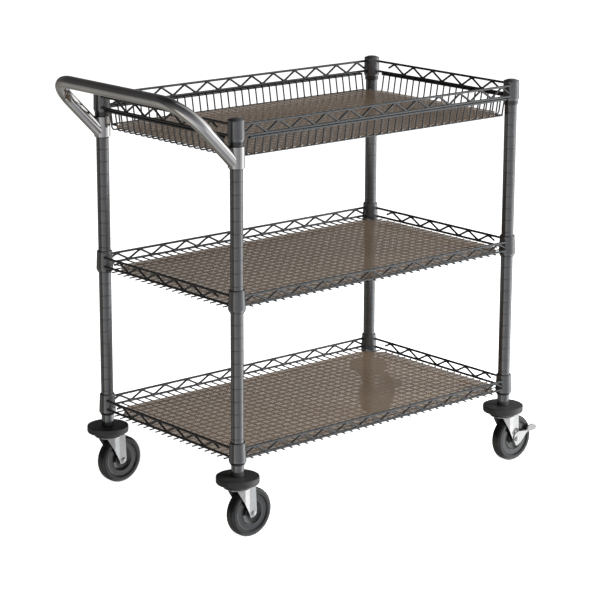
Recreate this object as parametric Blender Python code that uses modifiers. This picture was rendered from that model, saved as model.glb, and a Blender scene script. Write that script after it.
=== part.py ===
"""Wire shelf cart: three welded wire shelves on four round posts, with a push handle,
donut bumpers and swivel casters, two of them with a brake lever.

Sizes are in millimetres and the objects are built in metres, +Z up. The front is the -Y
side and the handle is at the -X end. The origin lies on the floor, under the middle of the
cart's outline.
"""
import math

import bmesh
import bpy

MM = 0.001
GAP = 0.3                      # clearance between pieces that touch

# Driving dimensions
POST_SPAN_X = 734.0            # between post axes, end to end
POST_SPAN_Y = 429.0            # between post axes, front to back
POST_R = 12.7
POST_BORE_R = 11.2
POST_TOP = 828.0
WHEEL_R = 50.0
WHEEL_HALF_WIDTH = 12.0
TRAIL = 27.5                   # caster axle behind its swivel axis
BUMPER_TOP = 129.0
BUMPER_HEIGHT = 14.5
BUMPER_R = 43.0
SHELF_BASES = {"bottom": 152.0, "middle": 456.8}
TOP_BASE = 787.0
COLLAR_HEIGHT = 45.0
TOP_COLLAR_HEIGHT = 43.6
HANDLE_TUBE_R = 12.7
HANDLE_ROOT_Z = 743.5          # where a handle arm's axis meets the post's axis
HANDLE_RUN = 177.2             # from there to the grip's axis, along the 45 degree slope
HANDLE_BEND_R = 70.0
PEDAL_TIP_X = 88.0             # brake pedal's tip behind the swivel axis

# Wires
RAIL_R = 2.25
TRUSS_R = 2.0
MAT_R = 1.5
RAIL_OUT = 9.5                 # rails lie this far outside the post axes
RAIL_END = 13.3                # rails end this far from a post axis, in the collar's wall
LOWER_RAIL = 14.8              # heights above a shelf's base
UPPER_RAIL = 33.2
TOP_LOWER_RAIL = 12.5
TOP_UPPER_RAIL = 34.6
TRUSS_PITCH = 120.0
MAT_PITCH = 90.0
MAT_STUB = 7.5                 # wire ends beyond the rails
BASKET_PITCH = 88.0
BASKET_FLOOR = 759.5

# Round fittings on the posts share one facet count, so their walls stay parallel
SIDES = 12
COLLAR_BORE_R = 15.0
CLIP_R = 14.7
CLIP_BORE_R = 13.0
WHEEL_SIDES = 20
BUMPER_SIDES = 16
BOLT_R = 4.0
BOLT_HOLE_R = 4.8
FORK_INNER_Y = 13.3
FORK_OUTER_Y = 15.5
FORK_DECK = 101.5              # underside of the fork's top plate
BRAKE_THICKNESS = 2.0
LINER_THICKNESS = 1.5

HANDLE_REACH = HANDLE_RUN * math.sqrt(0.5) + HANDLE_TUBE_R * math.cos(math.pi / SIDES)
LEFT = -(POST_SPAN_X + PEDAL_TIP_X - HANDLE_REACH) / 2
RIGHT = LEFT + POST_SPAN_X
FRONT = -POST_SPAN_Y / 2
REAR = POST_SPAN_Y / 2
CORNERS = {
    "front_left": (LEFT, FRONT),
    "front_right": (RIGHT, FRONT),
    "rear_left": (LEFT, REAR),
    "rear_right": (RIGHT, REAR),
}
BRAKED = ("front_right", "rear_right")


# ---------------------------------------------------------------- helpers

def clear_scene():
    for obj in list(bpy.data.objects):
        bpy.data.objects.remove(obj)


def new_collection(name):
    group = bpy.data.collections.new(name)
    bpy.context.scene.collection.children.link(group)
    return group


def make_material(name, colour, metallic, roughness, alpha=1.0):
    made = bpy.data.materials.new(name)
    made.use_nodes = True
    shader = made.node_tree.nodes["Principled BSDF"]
    shader.inputs["Base Color"].default_value = (*colour, 1.0)
    shader.inputs["Metallic"].default_value = metallic
    shader.inputs["Roughness"].default_value = roughness
    shader.inputs["Alpha"].default_value = alpha
    return made


def add_part(name, data, material, location=(0, 0, 0)):
    """One of the cart's pieces, placed in millimetres."""
    obj = bpy.data.objects.new(name, data)
    PARTS.objects.link(obj)
    obj.location = [value * MM for value in location]
    data.materials.append(material)
    return obj


def add_tool(name, data, location=(0, 0, 0)):
    """A helper solid that is only joined to, or cut from, a piece."""
    obj = bpy.data.objects.new(name, data)
    TOOLS.objects.link(obj)
    obj.location = [value * MM for value in location]
    obj.hide_render = True
    obj.display_type = "WIRE"
    return obj


def add_axis(name, location, parent=None):
    """An empty on a joint's axis."""
    empty = bpy.data.objects.new(name, None)
    PARTS.objects.link(empty)
    empty.parent = parent
    empty.location = [value * MM for value in location]
    return empty


def profile_mesh(name, profile):
    """Half section in the XZ plane: (radius, height) points, running down the outer side."""
    shape = bmesh.new()
    verts = [shape.verts.new((radius * MM, 0, height * MM)) for radius, height in profile]
    ends = verts[1:]
    if min(radius for radius, _ in profile) > 0:
        ends = verts[1:] + verts[:1]
    for first, second in zip(verts, ends):
        shape.edges.new((first, second))
    mesh = bpy.data.meshes.new(name)
    shape.to_mesh(mesh)
    shape.free()
    return mesh


def turn(obj, sides):
    """Spin a half section about the object's Z axis."""
    screw = obj.modifiers.new("turn", "SCREW")
    screw.steps = sides
    screw.render_steps = sides
    screw.use_merge_vertices = True
    screw.merge_threshold = 0.00001
    return obj


def curve_mesh(name, curve):
    """A curve's solid as a mesh, with its caps welded on."""
    guide = add_tool(name, curve)
    bpy.context.view_layer.update()
    evaluated = guide.evaluated_get(bpy.context.evaluated_depsgraph_get())
    mesh = bpy.data.meshes.new_from_object(evaluated)
    bpy.data.objects.remove(guide)
    shape = bmesh.new()
    shape.from_mesh(mesh)
    bmesh.ops.remove_doubles(shape, verts=shape.verts, dist=0.000001)
    bmesh.ops.recalc_face_normals(shape, faces=shape.faces)
    shape.to_mesh(mesh)
    shape.free()
    mesh.name = name
    return mesh


def wire_mesh(name, paths, radius, sides):
    """Round rods along straight-sided paths; four-sided ones lie flat side up."""
    curve = bpy.data.curves.new(name, "CURVE")
    curve.dimensions = "3D"
    curve.bevel_depth = radius * MM
    curve.bevel_resolution = (sides - 4) // 2
    curve.use_fill_caps = True
    for path in paths:
        spline = curve.splines.new("POLY")
        spline.points.add(len(path) - 1)
        for point, place in zip(spline.points, path):
            point.co = (*[value * MM for value in place], 1)
            point.tilt = math.pi / 4 if sides == 4 else 0.0
    return curve_mesh(name, curve)


def plate_mesh(name, outlines, thickness):
    """Flat outlines in the XY plane, the first filled and any others cut out of it."""
    curve = bpy.data.curves.new(name, "CURVE")
    curve.dimensions = "2D"
    curve.fill_mode = "BOTH"
    curve.extrude = thickness * MM / 2
    for outline in outlines:
        spline = curve.splines.new("POLY")
        spline.use_cyclic_u = True
        spline.points.add(len(outline) - 1)
        for point, (x, y) in zip(spline.points, outline):
            point.co = (x * MM, y * MM, 0, 1)
    return curve_mesh(name, curve)


def box_mesh(name, low, high):
    shape = bmesh.new()
    bmesh.ops.create_cube(shape, size=1.0)
    size = [(b - a) * MM for a, b in zip(low, high)]
    centre = [(a + b) / 2 * MM for a, b in zip(low, high)]
    bmesh.ops.scale(shape, vec=size, verts=shape.verts)
    bmesh.ops.translate(shape, vec=centre, verts=shape.verts)
    mesh = bpy.data.meshes.new(name)
    shape.to_mesh(mesh)
    shape.free()
    return mesh


def combine(obj, tool, operation):
    boolean = obj.modifiers.new(operation.lower(), "BOOLEAN")
    boolean.operation = operation
    boolean.object = tool
    boolean.solver = "EXACT"


def arc(centre, radius, start, end, steps):
    """Points on an arc, in degrees, ends included."""
    points = []
    for step in range(steps + 1):
        angle = math.radians(start + (end - start) * step / steps)
        points.append((centre[0] + radius * math.cos(angle), centre[1] + radius * math.sin(angle)))
    return points


def centred(pitch, count):
    """Offsets of evenly spaced wires about a middle."""
    return [pitch * (index - (count - 1) / 2) for index in range(count)]


# ---------------------------------------------------------------- posts and their fittings

def make_posts():
    profile = [
        (POST_R, POST_TOP),
        (POST_R, BUMPER_TOP + GAP),
        (POST_BORE_R, BUMPER_TOP + GAP),
        (POST_BORE_R, POST_TOP),
    ]
    for corner, (x, y) in CORNERS.items():
        turn(add_part(f"{corner}_post", profile_mesh("post", profile), EPOXY, (x, y, 0)), SIDES)


def make_post_caps():
    seat = POST_TOP + GAP
    profile = [
        (0, seat + 5.4),
        (9.0, seat + 4.8),
        (13.4, seat + 2.6),
        (13.4, seat),
        (POST_BORE_R - GAP, seat),
        (POST_BORE_R - GAP, seat - 12),
        (0, seat - 12),
    ]
    for corner, (x, y) in CORNERS.items():
        cap = add_part(f"{corner}_post_cap", profile_mesh("cap", profile), CAP_PLASTIC, (x, y, 0))
        turn(cap, SIDES)


def make_clip(name, corner, base, lip, top):
    """Split tapered sleeve between a post and a collar, with its narrow lip showing below."""
    x, y = CORNERS[corner]
    profile = [
        (CLIP_R, top),
        (CLIP_R, base - GAP),
        (CLIP_BORE_R + 0.4, lip),
        (CLIP_BORE_R, lip),
        (CLIP_BORE_R, top),
    ]
    clip = turn(add_part(name, profile_mesh(name, profile), CLIP_PLASTIC, (x, y, 0)), SIDES)
    slot = box_mesh(f"{name}_slot", (0, -0.8, lip - 5), (2 * CLIP_R, 0.8, top + 5))
    slot_tool = add_tool(f"{name}_slot", slot, (x, y, 0))
    slot_tool.rotation_euler.z = math.atan2(-y, (LEFT + RIGHT) / 2 - x)
    combine(clip, slot_tool, "DIFFERENCE")


def make_clips():
    for corner in CORNERS:
        for shelf, base in SHELF_BASES.items():
            make_clip(f"{corner}_{shelf}_clip", corner, base + 3, base, base + COLLAR_HEIGHT - 2)
        make_clip(f"{corner}_top_clip", corner, TOP_BASE + 3, TOP_BASE - 6.9, POST_TOP)
    for corner in ("front_left", "rear_left"):
        make_clip(f"{corner}_handle_clip", corner, 738.6, 736.0, 779.5)


# ---------------------------------------------------------------- shelves

def collar_profile(base, height):
    """Sleeve that widens towards its foot, where it is chamfered in."""
    return [
        (COLLAR_BORE_R + 0.9, base + height),
        (COLLAR_BORE_R + 2.4, base + 6),
        (COLLAR_BORE_R + 0.9, base + 3),
        (COLLAR_BORE_R, base + 3),
        (COLLAR_BORE_R, base + height),
    ]


def rail_paths(heights):
    paths = []
    for z in heights:
        for y in (FRONT - RAIL_OUT, REAR + RAIL_OUT):
            paths.append([(LEFT + RAIL_END, y, z), (RIGHT - RAIL_END, y, z)])
        for x in (LEFT - RAIL_OUT, RIGHT + RAIL_OUT):
            paths.append([(x, FRONT + RAIL_END, z), (x, REAR - RAIL_END, z)])
    return paths


def zigzag(middle, bends, end, lower, upper):
    """Snake wire between two rails: (position, height) points that alternate low and high."""
    points = []
    for index in range(-bends, bends + 1):
        height = lower if index % 2 == 0 else upper
        points.append((middle + index * TRUSS_PITCH / 2, height))
    last = lower if bends % 2 else upper
    return [(middle - end, last)] + points + [(middle + end, last)]


def truss_paths(lower, upper):
    low = lower + 1.0
    high = upper - 1.0
    along = zigzag((LEFT + RIGHT) / 2, 5, POST_SPAN_X / 2 - 18, low, high)
    across = zigzag(0.0, 2, POST_SPAN_Y / 2 - 30, low, high)
    paths = []
    for y in (FRONT - RAIL_OUT, REAR + RAIL_OUT):
        paths.append([(x, y, z) for x, z in along])
    for x in (LEFT - RAIL_OUT, RIGHT + RAIL_OUT):
        paths.append([(x, y, z) for y, z in across])
    return paths


def make_frame(name, base, height, lower, upper):
    """Welded frame: rails and snake wires on all four sides, with a collar at each corner."""
    frame = add_part(name, wire_mesh(name, rail_paths((lower, upper)), RAIL_R, 6), EPOXY)
    snake = wire_mesh(f"{name}_snake", truss_paths(lower, upper), TRUSS_R, 4)
    combine(frame, add_tool(f"{name}_snake", snake), "UNION")
    for corner, (x, y) in CORNERS.items():
        collar_name = f"{name}_{corner}_collar"
        collar = add_tool(collar_name, profile_mesh(collar_name, collar_profile(base, height)), (x, y, 0))
        combine(frame, turn(collar, SIDES), "UNION")


def make_mat(name, lower):
    """Welded mat: wires across the shelf lying on wires along it, held under the lower rails."""
    high = lower - 3.8
    low = high - MAT_R * math.sqrt(2) + 0.3
    reach = RAIL_OUT + MAT_STUB
    middle = (LEFT + RIGHT) / 2
    across = []
    for x in centred(MAT_PITCH, 8):
        across.append([(middle + x, FRONT - reach, high), (middle + x, REAR + reach, high)])
    along = []
    for y in centred(MAT_PITCH, 5):
        along.append([(LEFT - reach, y, low), (RIGHT + reach, y, low)])
    mat = add_part(name, wire_mesh(name, across, MAT_R, 4), EPOXY)
    combine(mat, add_tool(f"{name}_long_wires", wire_mesh(f"{name}_long_wires", along, MAT_R, 4)), "UNION")


def basket_section(low_end, high_end, floor):
    """One wire of the basket: down one wall, over the floor and up the other wall."""
    rim = TOP_BASE + TOP_LOWER_RAIL - 2 * RAIL_R - GAP
    side = [(low_end - 6.6, rim), (low_end, floor + 3), (low_end + 3, floor)]
    other = [(low_end + high_end - place, height) for place, height in reversed(side)]
    return side + other


def make_basket():
    """Shallow basket under the top frame, with open corners around the posts."""
    middle = (LEFT + RIGHT) / 2
    long_floor = BASKET_FLOOR - MAT_R * math.sqrt(2) + 0.3
    across = []
    for x in centred(BASKET_PITCH, 8):
        section = basket_section(FRONT, REAR, BASKET_FLOOR)
        across.append([(middle + x, y, z) for y, z in section])
    along = []
    for y in centred(BASKET_PITCH, 4):
        section = basket_section(LEFT, RIGHT, long_floor)
        along.append([(x, y, z) for x, z in section])
    for y in (FRONT + 6, REAR - 6):
        along.append([(LEFT + 22, y, long_floor), (RIGHT - 22, y, long_floor)])
    rim_z = TOP_BASE + TOP_LOWER_RAIL - 2 * RAIL_R - GAP
    rims = []
    for y in (FRONT - RAIL_OUT, REAR + RAIL_OUT):
        rims.append([(LEFT + 21, y, rim_z), (RIGHT - 21, y, rim_z)])
    for x in (LEFT - RAIL_OUT, RIGHT + RAIL_OUT):
        rims.append([(x, FRONT + 21, rim_z), (x, REAR - 21, rim_z)])
    basket = add_part("top_basket", wire_mesh("top_basket", across, MAT_R, 4), EPOXY)
    long_wires = wire_mesh("basket_long_wires", along, MAT_R, 4)
    combine(basket, add_tool("basket_long_wires", long_wires), "UNION")
    rim_wires = wire_mesh("basket_rims", rims, RAIL_R, 6)
    combine(basket, add_tool("basket_rims", rim_wires), "UNION")


def make_liner(name, low, high, corner_cut, underside):
    """Loose plastic sheet with its corners cut off around the posts."""
    outline = [
        (low[0] + corner_cut, low[1]),
        (high[0] - corner_cut, low[1]),
        (high[0], low[1] + corner_cut),
        (high[0], high[1] - corner_cut),
        (high[0] - corner_cut, high[1]),
        (low[0] + corner_cut, high[1]),
        (low[0], high[1] - corner_cut),
        (low[0], low[1] + corner_cut),
    ]
    sheet = plate_mesh(name, [outline], LINER_THICKNESS)
    add_part(name, sheet, LINER_PLASTIC, (0, 0, underside + LINER_THICKNESS / 2))


def make_shelves():
    for shelf, base in SHELF_BASES.items():
        lower = base + LOWER_RAIL
        make_frame(f"{shelf}_shelf_frame", base, COLLAR_HEIGHT, lower, base + UPPER_RAIL)
        make_mat(f"{shelf}_wire_mat", lower)
        low = (LEFT - 3, FRONT - 6)
        high = (LEFT + 729, FRONT + 411)
        make_liner(f"{shelf}_liner", low, high, 40, lower - 2.25)
    lower = TOP_BASE + TOP_LOWER_RAIL
    make_frame("top_shelf_frame", TOP_BASE, TOP_COLLAR_HEIGHT, lower, TOP_BASE + TOP_UPPER_RAIL)
    make_basket()
    low = (LEFT + 4, FRONT + 4)
    high = (LEFT + 724, FRONT + 418)
    make_liner("top_liner", low, high, 34, BASKET_FLOOR + MAT_R * math.sqrt(0.5) + GAP)


# ---------------------------------------------------------------- handle

def handle_path():
    """Grip and arms in a plane that leans 45 degrees away from the left-hand posts."""
    slope = math.sqrt(0.5)
    near = HANDLE_RUN - HANDLE_BEND_R
    bend = arc((near, FRONT + HANDLE_BEND_R), HANDLE_BEND_R, -90, 0, 5)
    far_bend = [(run, -y) for run, y in reversed(bend)]
    flat = [(4.0, FRONT)] + bend + far_bend + [(4.0, REAR)]
    return [(LEFT - run * slope, y, HANDLE_ROOT_Z + run * slope) for run, y in flat]


def make_handle():
    handle = add_part("push_handle", wire_mesh("push_handle", [handle_path()], HANDLE_TUBE_R, 12), CHROME)
    low = 738.6
    high = 779.8
    for corner in ("front_left", "rear_left"):
        x, y = CORNERS[corner]
        outer = [(0, high), (COLLAR_BORE_R + 1.5, high), (COLLAR_BORE_R + 1.5, low), (0, low)]
        sleeve = add_tool(f"{corner}_sleeve", profile_mesh("sleeve", outer), (x, y, 0))
        combine(handle, turn(sleeve, SIDES), "UNION")
    for corner in ("front_left", "rear_left"):
        x, y = CORNERS[corner]
        inner = [(0, high + 20), (COLLAR_BORE_R, high + 20), (COLLAR_BORE_R, low - 20), (0, low - 20)]
        bore = add_tool(f"{corner}_sleeve_bore", profile_mesh("sleeve_bore", inner), (x, y, 0))
        combine(handle, turn(bore, SIDES), "DIFFERENCE")


# ---------------------------------------------------------------- casters

def make_bumper(corner):
    x, y = CORNERS[corner]
    foot = BUMPER_TOP - BUMPER_HEIGHT
    profile = [
        (BUMPER_R - 2, BUMPER_TOP),
        (BUMPER_R, BUMPER_TOP - 2),
        (BUMPER_R, foot + 2),
        (BUMPER_R - 2, foot),
        (6.6, foot),
        (6.6, BUMPER_TOP),
    ]
    bumper = add_part(f"{corner}_bumper", profile_mesh("bumper", profile), RUBBER, (x, y, 0))
    turn(bumper, BUMPER_SIDES)


def make_stem(corner):
    """Stem with its expanding plug inside the post, a race cap above the fork, a rivet head below."""
    x, y = CORNERS[corner]
    stem_r = 6.0
    cap_top = BUMPER_TOP - BUMPER_HEIGHT - GAP
    cap_foot = cap_top - 3.8
    plug_r = POST_BORE_R - 0.4
    profile = [
        (0, 165),
        (plug_r, 165),
        (plug_r, 133),
        (stem_r, 133),
        (stem_r, cap_top),
        (26, cap_top),
        (26, cap_foot),
        (stem_r, cap_foot),
        (stem_r, FORK_DECK - GAP),
        (8, FORK_DECK - GAP),
        (8, 98.5),
        (0, 98.5),
    ]
    stem = add_part(f"{corner}_caster_stem", profile_mesh("stem", profile), ZINC, (x, y, 0))
    turn(stem, SIDES)


def leg_outline():
    """Side of the fork: wide under the deck, tapering to a round end about the axle."""
    tip = arc((TRAIL, WHEEL_R), 7.5, 0, -170, 5)
    return [(-9, FORK_DECK + 1), (33, FORK_DECK + 1)] + tip + [(3, 80), (-9, 98)]


def make_fork(corner, swivel):
    """Pressed fork: a raised ball race on a deck, and two legs around the wheel."""
    top = BUMPER_TOP - BUMPER_HEIGHT - GAP - 3.8 - GAP
    race = [(20, top), (24.5, 106.5), (27, 103.7), (27, FORK_DECK), (6.4, FORK_DECK), (6.4, top)]
    fork = add_part(f"{corner}_fork", profile_mesh(f"{corner}_fork", race), ZINC)
    fork.parent = swivel
    turn(fork, SIDES)
    low = (10, -FORK_OUTER_Y, FORK_DECK)
    high = (33, FORK_OUTER_Y, FORK_DECK + 2.2)
    deck = add_tool(f"{corner}_fork_deck", box_mesh("fork_deck", low, high))
    deck.parent = swivel
    combine(fork, deck, "UNION")
    hole = arc((TRAIL, WHEEL_R), BOLT_HOLE_R, 0, 315, 7)
    thickness = FORK_OUTER_Y - FORK_INNER_Y
    for side, sign in (("front", -1), ("rear", 1)):
        leg_mesh = plate_mesh("fork_leg", [leg_outline(), hole], thickness)
        leg = add_tool(f"{corner}_fork_{side}_leg", leg_mesh, (0, sign * (FORK_INNER_Y + thickness / 2), 0))
        leg.rotation_euler.x = math.pi / 2
        leg.parent = swivel
        combine(fork, leg, "UNION")


def make_axle_bolt(corner, axle):
    """Bolt with its round head in front and its nut behind, turned about the axle."""
    front = FORK_OUTER_Y + GAP
    if corner in BRAKED:
        front += BRAKE_THICKNESS + GAP
    rear = FORK_OUTER_Y + GAP
    profile = [
        (0, front + 2.8),
        (5.2, front + 2.0),
        (5.2, front),
        (BOLT_R, front),
        (BOLT_R, -rear),
        (6.0, -rear),
        (6.0, -rear - 4),
        (0, -rear - 4),
    ]
    bolt = add_part(f"{corner}_axle_bolt", profile_mesh("axle_bolt", profile), ZINC)
    bolt.parent = axle
    bolt.rotation_euler.x = math.pi / 2
    turn(bolt, SIDES)


def make_wheel(corner, axle):
    """Solid tyre on a moulded core. A flat of the tyre faces the floor."""
    tyre_r = WHEEL_R / math.cos(math.pi / WHEEL_SIDES)
    half = WHEEL_HALF_WIDTH
    seat = 37.5
    tyre = [
        (tyre_r, half - 6),
        (tyre_r, 6 - half),
        (tyre_r - 5, 1 - half),
        (seat, 0.5 - half),
        (seat, half - 0.5),
        (tyre_r - 5, half - 1),
    ]
    core = [
        (seat - GAP, half - 1),
        (seat - GAP, 1 - half),
        (BOLT_HOLE_R, 1 - half),
        (BOLT_HOLE_R, half - 1),
    ]
    for part, profile, material in (("tyre", tyre, TYRE), ("wheel_core", core, CORE)):
        obj = add_part(f"{corner}_{part}", profile_mesh(part, profile), material)
        obj.parent = axle
        obj.rotation_euler = (math.pi / 2, math.pi / WHEEL_SIDES, 0)
        turn(obj, WHEEL_SIDES)


def make_brake(corner, axle):
    """Flat lever outside the front leg, pivoting on the axle bolt, with a pedal behind the wheel."""
    plate = [
        (-7.5, 10),
        (-7.5, -4),
        (-3, -14),
        (0, -16),
        (5, -14.5),
        (13, -10),
        (31.5, 9.2),
        (55, 10.2),
        (PEDAL_TIP_X - TRAIL, 16),
        (PEDAL_TIP_X - TRAIL - 3, 20),
        (48, 25.6),
        (33, 22.4),
        (30, 12.5),
        (4, 16),
    ]
    hole = arc((0, 0), BOLT_HOLE_R, 0, 315, 7)
    lever = add_part(f"{corner}_brake_lever", plate_mesh("brake_lever", [plate, hole], BRAKE_THICKNESS), ZINC)
    lever.parent = axle
    lever.location.y = -(FORK_OUTER_Y + GAP + BRAKE_THICKNESS / 2) * MM
    lever.rotation_euler.x = math.pi / 2


def make_casters():
    for corner, (x, y) in CORNERS.items():
        make_bumper(corner)
        make_stem(corner)
        swivel = add_axis(f"{corner}_swivel_axis", (x, y, 0))
        axle = add_axis(f"{corner}_axle_axis", (TRAIL, 0, WHEEL_R), swivel)
        make_fork(corner, swivel)
        make_axle_bolt(corner, axle)
        make_wheel(corner, axle)
        if corner in BRAKED:
            make_brake(corner, axle)


clear_scene()
PARTS = new_collection("wire_shelf_cart")
TOOLS = new_collection("cutters")
EPOXY = make_material("grey_epoxy", (0.10, 0.105, 0.115), 0.6, 0.42)
CHROME = make_material("chrome", (0.78, 0.79, 0.80), 1.0, 0.12)
ZINC = make_material("zinc_plate", (0.68, 0.68, 0.67), 1.0, 0.28)
RUBBER = make_material("bumper_rubber", (0.035, 0.035, 0.035), 0.0, 0.7)
TYRE = make_material("tyre_rubber", (0.06, 0.06, 0.06), 0.0, 0.5)
CORE = make_material("wheel_core", (0.045, 0.045, 0.048), 0.0, 0.5)
CLIP_PLASTIC = make_material("clip_plastic", (0.03, 0.03, 0.03), 0.0, 0.5)
CAP_PLASTIC = make_material("cap_plastic", (0.06, 0.06, 0.065), 0.0, 0.4)
LINER_PLASTIC = make_material("liner_plastic", (0.24, 0.20, 0.17), 0.0, 0.3, alpha=0.6)
make_posts()
make_post_caps()
make_clips()
make_shelves()
make_handle()
make_casters()
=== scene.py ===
"""Visual model of a three-level wire shelf cart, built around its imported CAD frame."""

import math

import bmesh
import bpy
from mathutils import Matrix, Vector


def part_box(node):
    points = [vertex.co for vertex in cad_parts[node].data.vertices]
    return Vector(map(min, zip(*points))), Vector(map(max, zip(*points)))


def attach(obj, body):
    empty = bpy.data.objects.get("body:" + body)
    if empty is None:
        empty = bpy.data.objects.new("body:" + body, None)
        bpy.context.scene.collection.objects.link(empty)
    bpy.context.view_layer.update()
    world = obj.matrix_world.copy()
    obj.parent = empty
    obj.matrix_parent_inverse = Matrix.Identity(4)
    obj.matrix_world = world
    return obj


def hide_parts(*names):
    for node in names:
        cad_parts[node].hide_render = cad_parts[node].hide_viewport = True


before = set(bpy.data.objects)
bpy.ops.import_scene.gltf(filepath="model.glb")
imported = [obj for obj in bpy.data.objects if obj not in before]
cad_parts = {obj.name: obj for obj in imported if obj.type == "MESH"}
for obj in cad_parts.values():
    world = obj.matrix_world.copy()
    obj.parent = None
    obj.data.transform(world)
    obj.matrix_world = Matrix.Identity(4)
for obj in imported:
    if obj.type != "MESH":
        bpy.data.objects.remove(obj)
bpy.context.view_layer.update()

MM = 0.001

# --- Positions taken from the CAD nodes, in millimetres ---------------------------------------------


def box_mm(node):
    low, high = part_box(node)
    return low / MM, high / MM


def centre_mm(node):
    low, high = box_mm(node)
    return (low + high) / 2


CORNER_NAMES = ("front_left", "front_right", "rear_left", "rear_right")
CORNERS = {name: centre_mm(f"{name}_post").xy for name in CORNER_NAMES}
LEFT, FRONT = CORNERS["front_left"]
RIGHT, REAR = CORNERS["rear_right"]
MIDDLE_X = (LEFT + RIGHT) / 2
MIDDLE_Y = (FRONT + REAR) / 2
POST_FOOT = box_mm("front_left_post")[0].z
POST_TOP = box_mm("front_left_post")[1].z
BUMPER_FOOT, BUMPER_TOP = (v.z for v in box_mm("front_left_bumper"))
AXLE = centre_mm("front_left_tyre")
TRAIL = AXLE.x - LEFT
AXLE_Z = AXLE.z
BRAKED = ("front_right", "rear_right")

COLLAR_CHAMFER = 3
LEVELS = ("bottom", "middle", "top")
BASES = {level: box_mm(f"{level}_shelf_frame")[0].z - COLLAR_CHAMFER for level in LEVELS}
LINER_FOOT = {level: box_mm(f"{level}_liner")[0].z for level in BASES}

# --- Named sizes, in millimetres --------------------------------------------------------------------

POST_R = 12.7
POST_BORE_R = 11.2
GROOVE_PITCH = 25.4
GROOVE_DEPTH = 0.55
GROOVE_HALF = 0.8
GROOVE_FLOOR_HALF = 0.25

# Heights of a shelf frame's two rails above its base.
RAILS = {"bottom": (14.8, 33.2), "middle": (14.8, 33.2), "top": (12.5, 34.6)}
RAIL_R = 2.5
RAIL_OUT = 9.5
RAIL_END = 12.4
SNAKE_R = 2.2
SNAKE_OUT = 8.6
SNAKE_PITCH = 60.0
SNAKE_BEND_R = 5.0
SNAKE_END = 12.5
LONG_SNAKE_HALF_BENDS = 11
SIDE_SNAKE_HALF_BENDS = 5
SIDE_SNAKE_REACH = 168

MAT_R = 1.45
MAT_PITCH = 20.0
MAT_STUB = 5.0
# Below the lower rail: first the wires that run front to back, then the long ones under them.
MAT_DROPS = (3.5, 6.1)
MAT_CROSS_WIRES = 35
MAT_LONG_WIRES = 20
MAT_LONG_START = 24.5

BASKET_R = 1.6
BASKET_PITCH = 19.0
BASKET_BEND_R = 2.2
BASKET_END_BEND_R = 7.0
BASKET_CROSS_WIRES = 37
BASKET_LONG_WIRES = 20

LINER_CORNER_CUTS = {"bottom": 40, "middle": 40, "top": 34}
# Past the CAD liners: the top one at its front and rear, the lower ones at their right end.
TOP_LINER_OVERLAP = 1.6
LINER_REACH = 4

HANDLE_R = 12.7
HANDLE_ROOT_Z = 743.5
HANDLE_RUN = 177.2
HANDLE_BEND_R = 70.0
HANDLE_START = 8
HANDLE_BEND_STEPS = 18

BUMPER_R = 43.0
PLUG_FOOT = 133
PLUG_R = POST_BORE_R - 0.4
DISH_DROP = 4.9
CROWN_Z = 102.6
CROWN_THICK = 1.8
NUT_R = 6.9
LEG_OUTSIDE = 15.5
LEG_INSIDE = 14.0
WHEEL_R = 50.0
WHEEL_HALF = 11.8
TREAD_ROUND = 6.5
SHOULDER_ROUND = 6.8

# Straight stretches that stand for a full circle.
ROUND = 48
DISC_SIDES = 72
WHEEL_SIDES = 96

# --- Mesh helpers -----------------------------------------------------------------------------------


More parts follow.
